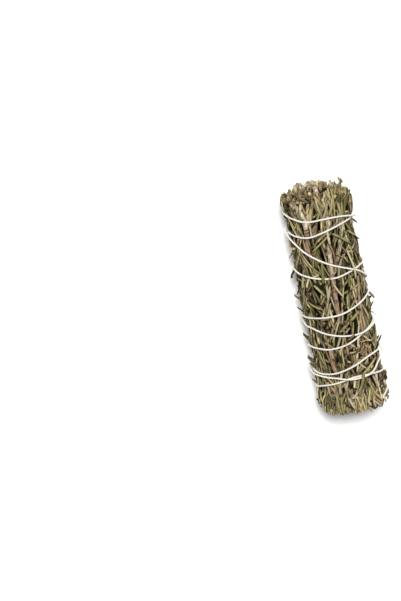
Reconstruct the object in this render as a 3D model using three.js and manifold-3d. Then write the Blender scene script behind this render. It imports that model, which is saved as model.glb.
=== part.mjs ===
// A dried rosemary bundle lying on its side. Leafy sprigs are laid side by side, some of
// them turned end for end so that both ends are leafy, and one white cotton thread is
// wound up the bundle and down again, biting into the foliage, and knotted underneath.
//
// Y runs along the bundle, +Z is up, and the origin lies on the surface that the bundle
// rests on, below its middle. Angles round the bundle are counted from the top (+Z)
// towards +X. Sizes are in millimetres, angles in degrees where a name says so.
import * as THREE from 'three';
import { mergeVertices } from 'three/addons/utils/BufferGeometryUtils.js';
import Module from 'manifold-3d';

const wasm = await Module();
wasm.setup();

// Driving dimensions
const BUNDLE_LENGTH = 118.5;
const AXIS_HEIGHT = 17.2; // less than the radius: the underside is pressed flat by its weight
const TIP_END_DOME = 3.5; // how far the middle of the +Y end stands out past its rim
const BUTT_END_DOME = 3; // the same at the -Y end
const THREAD_DIAMETER = 1.0;
const THREAD_BITE = 0.7; // how far the thread's centreline sinks below the foliage
const THREAD_OVERPASS = 1.45; // lift of a later winding where it crosses an earlier one
const OVERPASS_REACH = 5.0; // how far along Y each side of the crossing the lift begins
const THREAD_SIDES = 6;
const STEPS_PER_TURN = 17;
const NEEDLE_WIDTH = 1.4;
const NEEDLE_FLATNESS = 0.6; // thickness of a needle, as a share of an even three-sided one
const NEEDLE_LENGTH = 17;
const SHOULDER_SHARE = 0.5; // how far along its length a needle bends to follow the bundle
const STEM_RADIUS = 1.1;
const SPRAY_CORE_RADIUS = 1.5; // the stem with its crowded leaf bases
const CORE_SIDES = 5;
const CORE_STATIONS = 8;
const CLEARANCE = 0.35; // gap kept between two separate pieces
const PRESSED_HEIGHT = 0.12; // centreline of a needle that is pressed flat on the surface
const WIDEST_BARE_GAP = 8.5; // wider gaps between windings get a pressed needle underneath

// Radius of the foliage between the windings: [height along Y, radius]
const FOLIAGE_PROFILE = [
  [-60, 15.6], [-55, 17.6], [-46, 18.4], [-37, 17.9], [-29, 18.4], [-17, 17.7], [-4, 18.0],
  [11, 18.4], [21, 18.2], [31, 17.7], [39, 16.7], [47, 17.4], [54, 16.7], [60, 13.6],
];

// The thread's route, one row for each turn: its height at each of these angles, first over
// the top of the bundle and then back underneath. Heights are counted along Y from the middle
// of the winding.
const WINDING_MIDDLE = 0.75;
const TURN_ANGLES = [-90, -60, -30, 0, 30, 60, 90, 135, 180, 225];
const TURNS_UP = [
  [-44.5, -42.0, -40.0, -38.0, -39.0, -41.0, -42.5, -42.5, -41.0, -38.5],
  [-35.3, -35.3, -34.7, -32.3, -29.5, -29.4, -30.5, -31.0, -30.0, -26.5],
  [-22.2, -21.5, -21.7, -20.3, -17.2, -15.4, -14.5, -13.0, -11.0, -8.5],
  [-6.1, -5.3, -4.9, -4.3, -2.1, 0.0, 0.7, 3.0, 8.0, 14.0],
  [19.6, 17.8, 15.8, 14.6, 15.6, 16.4, 15.2, 18.0, 24.0, 32.0],
  [37.5, 36.9, 36.2, 37.9, 39.4, 39.8, 39.9, 41.5, 44.0, 46.5],
];
const TURNS_DOWN = [
  [48.0, 46.4, 44.2, 44.2, 43.3, 41.0, 38.5, 36.5, 36.5, 37.5],
  [38.7, 32.8, 26.7, 21.2, 16.7, 11.2, 6.5, 2.5, -1.5, -6.0],
  [-10.5, -10.9, -13.7, -15.9, -16.3, -14.8, -13.7, -15.5, -18.5, -27.0],
];
// The loose end that the winding starts from, and the last stretch into the knot:
// [angle along the whole winding, height]
const THREAD_START = [[-313, -54.5], [-300, -53.2], [-270, -52.3], [-180, -48.5]];
const THREAD_FINISH = [[-90, -35.7], [-60, -35.8], [-30, -36.8], [0, -38.4], [30, -38.0],
  [60, -34.8], [90, -32.6], [124, -32.2]];
const KNOT = { angleDeg: 130, y: -31.25, radius: 1.3, strand: 0.42, steps: 30, sides: 5 };
const KNOT_TAIL = [[130, -31.25], [138, -33.75], [141, -37.25], [147, -40.0]];

// The sprigs' places: rings of cells between two shares of the foliage radius
const RINGS = {
  outer: { cells: 12, inner: 0.6, outer: 1.0, needles: 35 },
  middle: { cells: 6, inner: 0.22, outer: 0.57, needles: 10 },
  heart: { cells: 1, inner: 0.0, outer: 0.19, needles: 9 },
};
// Outer sprigs that are turned end for end, and stretches where a bare stem shows at the
// surface: { cell: [middle of the stretch along Y, half its length] }
const TURNED_OUTER_CELLS = [1, 3, 6, 8, 10];
const TURNED_MIDDLE_CELLS = [0, 2, 4];
const BARE_STRETCHES = { 11: [37, 15], 0: [2, 12], 1: [-9, 9], 4: [13, 14], 7: [-23, 12] };
const BARE_STEM_PLACE = 0.57; // where a bare stem runs: share of the way out through its cell
// Sprigs that the bundle rests on, and the angle at which their needles are pressed flat
const RESTING_CELLS = { 5: 162, 6: 180, 7: 198 };

const LEAF_COLOURS = [0x7d7a4c, 0x8a8658, 0x6f7245, 0x918a60, 0x767a52];
const THREAD_COLOUR = 0xf1ede4;

const radians = THREE.MathUtils.degToRad;
const { lerp, clamp } = THREE.MathUtils;

// A repeatable stream of numbers from 0 to 1.
function seededRandom(seed) {
  let state = seed * 7919 + 17;
  return () => {
    state = (state + 0x6d2b79f5) | 0;
    let mixed = Math.imul(state ^ (state >>> 15), 1 | state);
    mixed = (mixed + Math.imul(mixed ^ (mixed >>> 7), 61 | mixed)) ^ mixed;
    return ((mixed ^ (mixed >>> 14)) >>> 0) / 4294967296;
  };
}

// A smooth line through stations of [position, value], held level past its ends.
function smoothLine(stations) {
  const last = stations.length - 1;
  const slope = (i) => {
    const before = stations[Math.max(i - 1, 0)];
    const after = stations[Math.min(i + 1, last)];
    return (after[1] - before[1]) / (after[0] - before[0]);
  };
  return (position) => {
    if (position <= stations[0][0]) return stations[0][1];
    if (position >= stations[last][0]) return stations[last][1];
    const i = stations.findIndex((station) => station[0] > position) - 1;
    const [start, end] = [stations[i], stations[i + 1]];
    const span = end[0] - start[0];
    const t = (position - start[0]) / span;
    const rise = t * t * (3 - 2 * t);
    const leaving = t * (1 - t) * (1 - t) * span * slope(i);
    const arriving = t * t * (1 - t) * span * slope(i + 1);
    return lerp(start[1], end[1], rise) + leaving - arriving;
  };
}

const foliageRadius = smoothLine(FOLIAGE_PROFILE);

// The point at an angle round the bundle, a distance from its axis and a height along it.
function onBundle(angle, radius, y) {
  return new THREE.Vector3(
    radius * Math.sin(angle), y, AXIS_HEIGHT + radius * Math.cos(angle));
}

// The largest distance from the axis that stays a given height above the resting surface.
function floorLimit(angle, height) {
  const downward = -Math.cos(angle);
  return downward > 0.05 ? (AXIS_HEIGHT - height) / downward : Infinity;
}

// How far the sprigs may reach at a distance from the axis, towards +Y or towards -Y.
function endReach(towards, radius) {
  const dome = towards > 0 ? TIP_END_DOME : BUTT_END_DOME;
  return BUNDLE_LENGTH / 2 - dome * (radius / foliageRadius(0)) ** 2;
}

// A closed geometry as a solid for joining and cutting.
function solidFrom(geometry) {
  const bare = geometry.index ? geometry.toNonIndexed() : geometry.clone();
  bare.deleteAttribute('normal');
  bare.deleteAttribute('uv');
  const merged = mergeVertices(bare, 1e-4);
  const corners = merged.index.array;
  const kept = [];
  for (let i = 0; i < corners.length; i += 3) {
    const [a, b, c] = [corners[i], corners[i + 1], corners[i + 2]];
    if (a !== b && b !== c && c !== a) kept.push(a, b, c);
  }
  return new wasm.Manifold(new wasm.Mesh({
    numProp: 3,
    vertProperties: Float32Array.from(merged.attributes.position.array),
    triVerts: Uint32Array.from(kept),
  }));
}

function geometryFrom(solid) {
  const mesh = solid.getMesh();
  const geometry = new THREE.BufferGeometry();
  geometry.setAttribute('position', new THREE.BufferAttribute(mesh.vertProperties, 3));
  geometry.setIndex(new THREE.BufferAttribute(mesh.triVerts, 1));
  geometry.computeVertexNormals();
  return geometry;
}

// Joins solids and keeps the main body, without loose scraps.
function joined(solids) {
  const bodies = wasm.Manifold.union(solids).decompose();
  return bodies.sort((a, b) => b.volume() - a.volume())[0];
}

function namedMesh(name, solid, colour, roughness) {
  const material = new THREE.MeshStandardMaterial({ color: colour, roughness, metalness: 0 });
  const mesh = new THREE.Mesh(geometryFrom(solid), material);
  mesh.name = name;
  return mesh;
}

// The thread

// Stations of the whole winding: [angle that keeps growing turn by turn, height along Y].
function windingStations() {
  const turns = [...TURNS_UP, ...TURNS_DOWN].flatMap((heights, turn) =>
    heights.map((y, i) => [360 * turn + TURN_ANGLES[i], y]));
  const finishTurn = 360 * (TURNS_UP.length + TURNS_DOWN.length);
  const finish = THREAD_FINISH.map(([angleDeg, y]) => [finishTurn + angleDeg, y]);
  return [...THREAD_START, ...turns, ...finish].map(([angleDeg, y]) => [angleDeg, y + WINDING_MIDDLE]);
}

// How far the thread's centreline lies from the bundle's axis before any overpass.
function threadRest(angle, y) {
  const bitten = foliageRadius(y) - THREAD_BITE;
  return Math.min(bitten, floorLimit(angle, THREAD_DIAMETER / 2 + CLEARANCE));
}

// The centreline of the winding, with a long low hump wherever it crosses itself.
class WindingRoute extends THREE.Curve {
  constructor() {
    super();
    const stations = windingStations();
    this.height = smoothLine(stations);
    this.firstDeg = stations[0][0];
    this.lastDeg = stations[stations.length - 1][0];
    this.arcLengthDivisions = 3000;
    this.stepDeg = 5;
    this.lifts = [];
    for (let angle = this.firstDeg; angle <= this.lastDeg; angle += this.stepDeg) {
      this.lifts.push(this.liftOver(angle));
    }
  }

  // The lift at an angle, from the earlier windings that pass close to it there.
  liftOver(angleDeg) {
    const y = this.height(angleDeg);
    let lift = 0;
    for (let under = angleDeg - 360; under >= this.firstDeg; under -= 360) {
      const nearness = 1 - ((y - this.height(under)) / OVERPASS_REACH) ** 2;
      if (nearness > 0) {
        const hump = THREAD_OVERPASS * nearness ** 2;
        lift = Math.max(lift, this.lift(under) + hump);
      }
    }
    return lift;
  }

  lift(angleDeg) {
    const place = (angleDeg - this.firstDeg) / this.stepDeg;
    const i = Math.floor(place);
    const next = this.lifts[Math.min(i + 1, this.lifts.length - 1)];
    return lerp(this.lifts[i] ?? 0, next ?? 0, place - i);
  }

  getPoint(t, target = new THREE.Vector3()) {
    const angleDeg = lerp(this.firstDeg, this.lastDeg, t);
    const angle = radians(angleDeg);
    const y = this.height(angleDeg);
    return target.copy(onBundle(angle, threadRest(angle, y) + this.lift(angleDeg), y));
  }
}

function threadAlong(route, steps) {
  const corners = Array.from({ length: THREAD_SIDES }, (_, i) => {
    const turn = (2 * Math.PI * i) / THREAD_SIDES;
    return new THREE.Vector2(Math.cos(turn), Math.sin(turn)).multiplyScalar(THREAD_DIAMETER / 2);
  });
  return new THREE.ExtrudeGeometry(new THREE.Shape(corners),
    { steps, extrudePath: route, bevelEnabled: false });
}

const winding = new WindingRoute();

const knotAngle = radians(KNOT.angleDeg);
const knotDistance = threadRest(knotAngle, KNOT.y) + KNOT.radius - THREAD_DIAMETER / 2;
const knotCentre = onBundle(knotAngle, knotDistance, KNOT.y);

function knotTailRoute() {
  const points = KNOT_TAIL.map(([angleDeg, y], i) => {
    const angle = radians(angleDeg);
    const lift = i === 0 ? KNOT.radius / 2 : 0.4;
    return onBundle(angle, threadRest(angle, y) + lift, y);
  });
  return new THREE.CatmullRomCurve3(points);
}
const tailRoute = knotTailRoute();

function makeThread() {
  const turns = (winding.lastDeg - winding.firstDeg) / 360;
  const wound = threadAlong(winding, Math.round(turns * STEPS_PER_TURN));
  const tail = threadAlong(tailRoute, 2 * KNOT_TAIL.length);
  const knot = new THREE.TorusKnotGeometry(
    KNOT.radius - KNOT.strand, KNOT.strand, KNOT.steps, KNOT.sides, 2, 3);
  knot.rotateY(knotAngle);
  knot.translate(knotCentre.x, knotCentre.y, knotCentre.z);
  return joined([wound, tail, knot].map(solidFrom));
}

// Points all along the thread, which the needles are kept clear of.
const threadPoints = [
  ...Array.from({ length: 2400 }, (_, i) => winding.getPoint(i / 2399)),
  ...tailRoute.getPoints(20),
].map((point) => ({ point, radius: THREAD_DIAMETER / 2 }));
threadPoints.push({ point: knotCentre, radius: KNOT.radius });

function clearOfThread(start, end, radius) {
  const probe = new THREE.Vector3();
  const samples = Math.ceil(start.distanceTo(end));
  for (let i = 0; i <= samples; i += 1) {
    probe.lerpVectors(start, end, i / samples);
    const touches = threadPoints.some((thread) =>
      Math.abs(thread.point.y - probe.y) < 4 &&
      thread.point.distanceTo(probe) < thread.radius + radius + CLEARANCE);
    if (touches) return false;
  }
  return true;
}

// The sprigs

// A cell of the bundle's cross-section that one sprig fills. Its sides wander a little
// along the bundle, and neighbouring cells share them.
class Cell {
  constructor(ring, index) {
    Object.assign(this, RINGS[ring], { ring, index });
  }

  sideAngle(index, y) {
    const wander = this.cells > 1 ? 2.4 * Math.sin(y / 17 + 1.7 * (index % this.cells)) : 0;
    const twist = 6 * Math.sin(y / 27 + 0.6);
    return radians((360 / this.cells) * (index - 0.5) + wander + twist);
  }

  // across is from -1 to 1, from one side to the other, and outward from 0 to 1.
  point(across, outward, y) {
    const radius = foliageRadius(y);
    if (this.cells === 1) {
      const half = this.outer * radius;
      return new THREE.Vector3(across * half, y, AXIS_HEIGHT + (2 * outward - 1) * half);
    }
    const [left, right] = [this.sideAngle(this.index, y), this.sideAngle(this.index + 1, y)];
    const angle = lerp(left, right, (across + 1) / 2);
    const distance = lerp(this.inner * radius, this.outer * radius, outward);
    return onBundle(angle, Math.min(distance, floorLimit(angle, PRESSED_HEIGHT)), y);
  }

  // The share of the cell's half width that a needle's centreline may use at a point.
  widthShare(outward, y) {
    const radius = lerp(this.inner, this.outer, outward) * foliageRadius(y);
    const halfWidth = this.cells === 1 ? radius : (Math.PI * radius) / this.cells;
    return clamp(1 - (NEEDLE_WIDTH / 2 + CLEARANCE / 2 + 0.08) / halfWidth, 0, 1);
  }
}

// A three-sided needle that runs straight from its root to its shoulder and bends there
// towards its tip. Its ridge faces away from the bundle's axis.
function needleSolid(root, shoulder, tip) {
  const corner = NEEDLE_WIDTH / Math.sqrt(3);
  const straight = root.distanceTo(shoulder);
  const profile = [[0, 0], [0.8 * corner, 0], [corner, straight], [0, straight + 1]];
  const blank = new THREE.LatheGeometry(profile.map(([r, y]) => new THREE.Vector2(r, y)), 3);
  const along = shoulder.clone().sub(root).normalize();
  const outwards = new THREE.Vector3(shoulder.x, 0, shoulder.z - AXIS_HEIGHT);
  const side = along.clone().cross(outwards).normalize();
  const ridge = side.clone().cross(along).multiplyScalar(NEEDLE_FLATNESS);
  const places = blank.attributes.position;
  const isTip = (i) => places.getY(i) > straight + 0.5;
  const tips = Array.from({ length: places.count }, (_, i) => i).filter(isTip);
  blank.applyMatrix4(new THREE.Matrix4().makeBasis(side, along, ridge).setPosition(root));
  tips.forEach((i) => places.setXYZ(i, tip.x, tip.y, tip.z));
  return solidFrom(blank);
}

// How far a bare stretch of stem has come out to the surface at a height, from 0 to 1.
function bareness(cell, y) {
  const stretch = cell.ring === 'outer' ? BARE_STRETCHES[cell.index] : undefined;
  if (!stretch) return 0;
  return clamp(1.6 * (1 - ((y - stretch[0]) / stretch[1]) ** 2), 0, 1);
}

function isResting(cell) {
  return cell.ring === 'outer' && cell.index in RESTING_CELLS;
}

// Where the stem runs inside its cell. Near the resting surface it keeps above the thread.
function stemPlace(cell, y, phase) {
  const wander = cell.cells === 1 ? 0.1 : 0.16;
  const across = wander * Math.sin(y / 19 + phase);
  const middle = isResting(cell) ? 0.33 : 0.45;
  const inside = middle + 0.08 * Math.sin(y / 23 + 2 * phase);
  return { across, outward: lerp(inside, BARE_STEM_PLACE, bareness(cell, y)) };
}

function stemPoint(cell, y, phase) {
  const place = stemPlace(cell, y, phase);
  return cell.point(place.across, place.outward, y);
}

// The stem and the crowded leaf bases round it: bare at its cut end, slim at its tip.
function sprayCore(cell, phase, butt, tip) {
  const profile = [[0, 0]];
  for (let i = 0; i <= CORE_STATIONS; i += 1) {
    const share = i / CORE_STATIONS;
    const y = lerp(butt, tip, share);
    const leafy = SPRAY_CORE_RADIUS * (1 - 0.3 * share);
    const bare = share === 0 ? 1 : bareness(cell, y);
    profile.push([lerp(leafy, STEM_RADIUS, bare), share * Math.abs(tip - butt)]);
  }
  profile.push([0, Math.abs(tip - butt)]);
  const outline = profile.map(([r, y]) => new THREE.Vector2(r, y));
  const core = new THREE.LatheGeometry(outline, CORE_SIDES);
  if (tip < butt) core.rotateX(Math.PI);
  const places = core.attributes.position;
  for (let i = 0; i < places.count; i += 1) {
    const y = butt + places.getY(i);
    const centre = stemPoint(cell, y, phase);
    places.setXYZ(i, places.getX(i) + centre.x, y, places.getZ(i) + centre.z);
  }
  return solidFrom(core);
}

// The outermost place for a point of a needle at which the stretch from `start` to it
// passes under the thread.
function pressedUnderThread(cell, start, across, outward, y) {
  for (let lowered = 0; lowered < 0.7; lowered += 0.07) {
    const place = cell.point(across, Math.max(outward - lowered, 0.1), y);
    if (clearOfThread(start, place, NEEDLE_WIDTH / 2)) return place;
  }
  return null;
}

// A needle from the stem to the edge of the cell. turnDeg is the side of the stem that it
// grows on: 0 is across the cell and 90 outwards.
function placedNeedle(cell, phase, rootY, tipY, turnDeg, reach) {
  const stem = stemPlace(cell, rootY, phase);
  const turn = radians(turnDeg);
  const stretchTo = (share, y) => {
    const outward = clamp(stem.outward + Math.sin(turn) * reach * share, 0.12, 0.96);
    const limit = cell.widthShare(outward, y);
    const across = clamp(stem.across + Math.cos(turn) * reach * 1.7 * share, -limit, limit);
    return [across, outward, y];
  };
  const root = cell.point(...stretchTo(0.1, rootY));
  const shoulderY = lerp(rootY, tipY, SHOULDER_SHARE);
  const shoulder = pressedUnderThread(cell, root, ...stretchTo(0.85, shoulderY));
  if (!shoulder) return null;
  const tip = pressedUnderThread(cell, shoulder, ...stretchTo(1, tipY));
  return tip && [root, shoulder, tip];
}

// Points about a millimetre apart along the outer part of a needle's line.
function pointsAlong([root, shoulder, tip]) {
  const points = [];
  for (const [start, end, skipped] of [[root, shoulder, 0.35], [shoulder, tip, 0]]) {
    const count = Math.ceil(start.distanceTo(end));
    for (let i = Math.round(skipped * count); i < count; i += 1) {
      points.push(new THREE.Vector3().lerpVectors(start, end, (i + 0.5) / count));
    }
  }
  return points;
}

// Whether two points on needles' lines are so close that the needles would cross.
function crossing(here, there) {
  const apartY = Math.abs(here.y - there.y);
  if (apartY > 0.7) return false;
  const outwards = new THREE.Vector2(here.x, here.z - AXIS_HEIGHT).normalize();
  const apart = new THREE.Vector2(here.x - there.x, here.z - there.z);
  const depth = apart.dot(outwards);
  const sideways = apart.cross(outwards);
  return Math.hypot(sideways / NEEDLE_WIDTH, depth / (0.55 * NEEDLE_WIDTH)) < 1;
}

// Heights along Y at which the thread crosses the line at an angle round the bundle.
function strandHeights(angleDeg) {
  const heights = [-BUNDLE_LENGTH / 2 + 2, BUNDLE_LENGTH / 2 - 6];
  for (let turn = -1; turn < 10; turn += 1) {
    const onWinding = 360 * turn + angleDeg;
    if (onWinding >= winding.firstDeg && onWinding <= winding.lastDeg) {
      heights.push(winding.height(onWinding));
    }
  }
  return heights.sort((a, b) => a - b);
}

// Needles that lie flat on the surface, one in each wide gap between two windings.
function pressedNeedles(cell, phase, towards) {
  const angleDeg = RESTING_CELLS[cell.index];
  const angle = radians(angleDeg);
  const floorPoint = (y) => onBundle(angle, floorLimit(angle, PRESSED_HEIGHT), y);
  const heights = strandHeights(angleDeg);
  const needles = [];
  heights.slice(1).forEach((high, i) => {
    const [from, to] = towards > 0 ? [heights[i], high] : [high, heights[i]];
    if (high - heights[i] < WIDEST_BARE_GAP) return;
    const root = stemPoint(cell, from + towards * 0.6, phase);
    for (let margin = 1.6; margin < 4; margin += 0.4) {
      const shoulder = floorPoint(from + towards * (2.6 + margin));
      const tip = floorPoint(to - towards * margin);
      const isClear = clearOfThread(root, shoulder, NEEDLE_WIDTH / 2) &&
        clearOfThread(shoulder, tip, NEEDLE_WIDTH / 2);
      if (isClear) {
        needles.push([root, shoulder, tip]);
        return;
      }
    }
  });
  return needles;
}

const GOLDEN_SHARE = 0.618034;

// The lines of a sprig's needles, none of them crossing another away from the stem.
function needleLines(cell, phase, towards, butt, tip, random) {
  const lines = isResting(cell) ? pressedNeedles(cell, phase, towards) : [];
  const taken = lines.flatMap(pointsAlong);
  for (let i = 0; i < cell.needles; i += 1) {
    const share = (i + 0.6 * random()) / cell.needles;
    const rootY = lerp(butt + towards * 3, tip - towards * 0.5, share);
    const bentBack = share < 0.16 && i % 2 === 0;
    const length = NEEDLE_LENGTH * (0.8 + 0.35 * random()) * (bentBack ? 0.55 : 1);
    const heading = bentBack ? -towards : towards;
    const limit = endReach(heading, 0.8 * foliageRadius(0)) + 2 - 3.5 * random();
    const tipY = clamp(rootY + heading * length, -limit, limit);
    if (Math.abs(tipY - rootY) < 5) continue;
    for (let attempt = 0; attempt < 8; attempt += 1) {
      const spread = 2 * (((i + 3 * attempt) * GOLDEN_SHARE + 0.1 * random()) % 1) - 1;
      const turnDeg = 90 + 150 * spread * (0.6 + 0.4 * Math.abs(spread));
      const overBareStem = bareness(cell, rootY + 5 * towards) > 0.3;
      if (overBareStem && Math.abs(turnDeg - 90) < 50) continue;
      const line = placedNeedle(cell, phase, rootY, tipY, turnDeg, 0.42 + 0.16 * random());
      const points = line ? pointsAlong(line) : [];
      const fits = line && !points.some((here) => taken.some((there) => crossing(here, there)));
      if (fits) {
        lines.push(line);
        taken.push(...points);
        break;
      }
    }
  }
  return lines;
}

function makeSprig(cell, turned, seed) {
  const random = seededRandom(seed);
  const phase = 6.28 * random();
  const towards = turned ? -1 : 1;
  const stemDistance = lerp(cell.inner, cell.outer, 0.45) * foliageRadius(0);
  const butt = -towards * (endReach(-towards, stemDistance) - 2.5 * random());
  const tip = towards * (endReach(towards, stemDistance) - 7);
  const lines = needleLines(cell, phase, towards, butt, tip, random);
  const needles = lines.map((line) => needleSolid(...line));
  const floor = new THREE.BoxGeometry(60, 160, 10).translate(0, 0, -5);
  return joined([sprayCore(cell, phase, butt, tip), ...needles]).subtract(solidFrom(floor));
}

// The whole bundle
const bundle = new THREE.Group();
let seed = 1;
for (const [ring, turnedCells] of [
  ['outer', TURNED_OUTER_CELLS], ['middle', TURNED_MIDDLE_CELLS], ['heart', []]]) {
  for (let index = 0; index < RINGS[ring].cells; index += 1) {
    const number = String(index + 1).padStart(2, '0');
    const name = ring === 'heart' ? 'sprig_heart' : `sprig_${ring}_${number}`;
    const solid = makeSprig(new Cell(ring, index), turnedCells.includes(index), seed);
    bundle.add(namedMesh(name, solid, LEAF_COLOURS[seed % LEAF_COLOURS.length], 0.9));
    seed += 1;
  }
}
bundle.add(namedMesh('cotton_thread', makeThread(), THREAD_COLOUR, 0.95));

export default bundle;
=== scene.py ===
import math
import random

import bpy
from mathutils import Matrix, Quaternion, Vector


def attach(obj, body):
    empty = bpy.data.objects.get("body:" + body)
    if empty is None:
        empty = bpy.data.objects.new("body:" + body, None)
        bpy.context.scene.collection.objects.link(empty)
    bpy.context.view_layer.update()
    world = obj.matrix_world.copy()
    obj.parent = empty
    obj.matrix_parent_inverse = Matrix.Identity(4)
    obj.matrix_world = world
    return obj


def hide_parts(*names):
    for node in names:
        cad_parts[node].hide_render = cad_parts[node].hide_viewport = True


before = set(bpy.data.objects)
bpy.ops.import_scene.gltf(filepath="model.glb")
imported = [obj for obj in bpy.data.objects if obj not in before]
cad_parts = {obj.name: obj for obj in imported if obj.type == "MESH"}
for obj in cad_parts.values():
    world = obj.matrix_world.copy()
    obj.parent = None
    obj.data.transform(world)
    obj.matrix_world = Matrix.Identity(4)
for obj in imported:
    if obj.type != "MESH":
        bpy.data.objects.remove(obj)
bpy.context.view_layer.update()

MM = 0.001


# The resting surface
# A plain tabletop with a matt coat of white paint. It is wide enough to fill the main view,
# and it is part of the stage, not of the bundle.
TABLE_SIZE = 4.0
TABLE_COLOUR = "#f7f6f4"


def linear_colour(hex_colour):
    """A colour given as sRGB hex, turned to the linear values that a shader takes."""
    channels = [int(hex_colour[i:i + 2], 16) / 255 for i in (1, 3, 5)]
    return [c / 12.92 if c <= 0.04045 else ((c + 0.055) / 1.055) ** 2.4 for c in channels] + [1.0]


def set_inputs(tree, node, inputs):
    """Gives each named input of a node a plain value, an sRGB hex colour, or a socket to be linked to."""
    for name, value in inputs.items():
        if isinstance(value, bpy.types.NodeSocket):
            tree.links.new(value, node.inputs[name])
        elif isinstance(value, str) and value.startswith("#"):
            node.inputs[name].default_value = linear_colour(value)
        else:
            node.inputs[name].default_value = value


def add_node(tree, kind, settings=None, inputs=None):
    """Adds a node with its own settings and its inputs."""
    node = tree.nodes.new(kind)
    for name, value in (settings or {}).items():
        setattr(node, name, value)
    set_inputs(tree, node, inputs or {})
    return node


def math_node(tree, operation, *terms):
    """The result of a Math node on its terms, each a number or a socket."""
    return add_node(tree, "ShaderNodeMath", {"operation": operation}, dict(enumerate(terms))).outputs[0]


def vector_node(tree, operation, terms, output="Vector"):
    """The result of a Vector Math node on its terms."""
    return add_node(tree, "ShaderNodeVectorMath", {"operation": operation}, terms).outputs[output]


def ranged(tree, value, start, end, low=0.0, high=1.0):
    """A value's place between start and end, as a number from low to high."""
    limits = {"From Min": start, "From Max": end, "To Min": low, "To Max": high}
    return add_node(tree, "ShaderNodeMapRange", None, {"Value": value, **limits}).outputs["Result"]


def mixed_colour(tree, factor, start, end):
    """Mixes two colours, each a socket or an sRGB hex, by a factor."""
    return add_node(tree, "ShaderNodeMix", {"data_type": "RGBA"},
                    {"Factor": factor, "A": start, "B": end}).outputs["Result"]


def colour_ramp(tree, stops, factor):
    """A colour from a ramp through stops of (position, sRGB hex), driven by a factor."""
    ramp = add_node(tree, "ShaderNodeValToRGB", None, {"Fac": factor})
    elements = ramp.color_ramp.elements
    for element, (position, colour) in zip(elements, (stops[0], stops[-1])):
        element.position, element.color = position, linear_colour(colour)
    for position, colour in stops[1:-1]:
        elements.new(position).color = linear_colour(colour)
    return ramp.outputs["Color"]


def noise(tree, place, size, detail, roughness=0.5):
    """Noise with features of about a size in millimetres."""
    return add_node(tree, "ShaderNodeTexNoise", None, {
        "Vector": place, "Scale": 1 / (size * MM), "Detail": detail, "Roughness": roughness}).outputs["Fac"]


def bumps(tree, height, strength, distance):
    """The normal of a surface that is roughened by a height, up to a distance in millimetres."""
    return add_node(tree, "ShaderNodeBump", None, {
        "Height": height, "Strength": strength, "Distance": distance * MM}).outputs["Normal"]


def object_place(tree):
    return add_node(tree, "ShaderNodeTexCoord").outputs["Object"]


def line_values(tree, names):
    """Values that were stored on the geometry under these names, for a shader to read."""
    return {name: add_node(tree, "ShaderNodeAttribute", {"attribute_name": name}).outputs["Fac"]
            for name in names}


def new_material(name):
    """A new material, its node tree and its Principled shader."""
    material = bpy.data.materials.new(name)
    material.use_nodes = True
    return material, material.node_tree, material.node_tree.nodes["Principled BSDF"]


def new_object(name, data):
    """A new object in the scene for a mesh, a light or a camera."""
    made = bpy.data.objects.new(name, data)
    bpy.context.scene.collection.objects.link(made)
    return made


def lay_table():
    mesh = bpy.data.meshes.new("table")
    half = TABLE_SIZE / 2
    corners = [(-half, -half, 0), (half, -half, 0), (half, half, 0), (-half, half, 0)]
    mesh.from_pydata(corners, [], [(0, 1, 2, 3)])
    table = new_object("table", mesh)
    paint, tree, shader = new_material("matt_white_paint")
    set_inputs(tree, shader, {"Base Color": TABLE_COLOUR, "Roughness": 0.9, "Specular IOR Level": 0.2})
    mesh.materials.append(paint)


lay_table()


# The cotton thread
# One length of white cotton thread, four plies twisted together, is wound up the bundle and
# down again. It bites into the foliage, and a small overhand knot ties it off underneath.
AXIS_HEIGHT = 17.2  # millimetres, as all sizes below
THREAD_DIAMETER = 1.0
THREAD_BITE = 0.7
THREAD_OVERPASS = 1.45
OVERPASS_REACH = 5.0
THREAD_CLEARANCE = 0.35
PLIES = 4
TWIST_PITCH = 3.4  # length of thread for one whole turn of its plies
THREAD_STEP = 0.3

# Radius of the foliage between the windings: [height along Y, radius]
FOLIAGE_PROFILE = [
    [-60, 15.6], [-55, 17.6], [-46, 18.4], [-37, 17.9], [-29, 18.4], [-17, 17.7], [-4, 18.0],
    [11, 18.4], [21, 18.2], [31, 17.7], [39, 16.7], [47, 17.4], [54, 16.7], [60, 13.6],
]

# The route, one row for each turn: its height at each of these angles round the bundle, counted
# from the top towards +X, first over the top and then back underneath. Heights are counted
# along Y from the middle of the winding.
WINDING_MIDDLE = 0.75
TURN_ANGLES = [-90, -60, -30, 0, 30, 60, 90, 135, 180, 225]
TURNS = [
    [-44.5, -42.0, -40.0, -38.0, -39.0, -41.0, -42.5, -42.5, -41.0, -38.5],
    [-35.3, -35.3, -34.7, -32.3, -29.5, -29.4, -30.5, -31.0, -30.0, -26.5],
    [-22.2, -21.5, -21.7, -20.3, -17.2, -15.4, -14.5, -13.0, -11.0, -8.5],
    [-6.1, -5.3, -4.9, -4.3, -2.1, 0.0, 0.7, 3.0, 8.0, 14.0],
    [19.6, 17.8, 15.8, 14.6, 15.6, 16.4, 15.2, 18.0, 24.0, 32.0],
    [37.5, 36.9, 36.2, 37.9, 39.4, 39.8, 39.9, 41.5, 44.0, 46.5],
    [48.0, 46.4, 44.2, 44.2, 43.3, 41.0, 38.5, 36.5, 36.5, 37.5],
    [38.7, 32.8, 26.7, 21.2, 16.7, 11.2, 6.5, 2.5, -1.5, -6.0],
    [-10.5, -10.9, -13.7, -15.9, -16.3, -14.8, -13.7, -15.5, -18.5, -27.0],
]
THREAD_START = [[-313, -54.5], [-300, -53.2], [-270, -52.3], [-180, -48.5]]
THREAD_FINISH = [[-90, -35.7], [-60, -35.8], [-30, -36.8], [0, -38.4], [30, -38.0], [60, -34.8], [90, -32.6],
                 [124, -32.2]]
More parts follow.
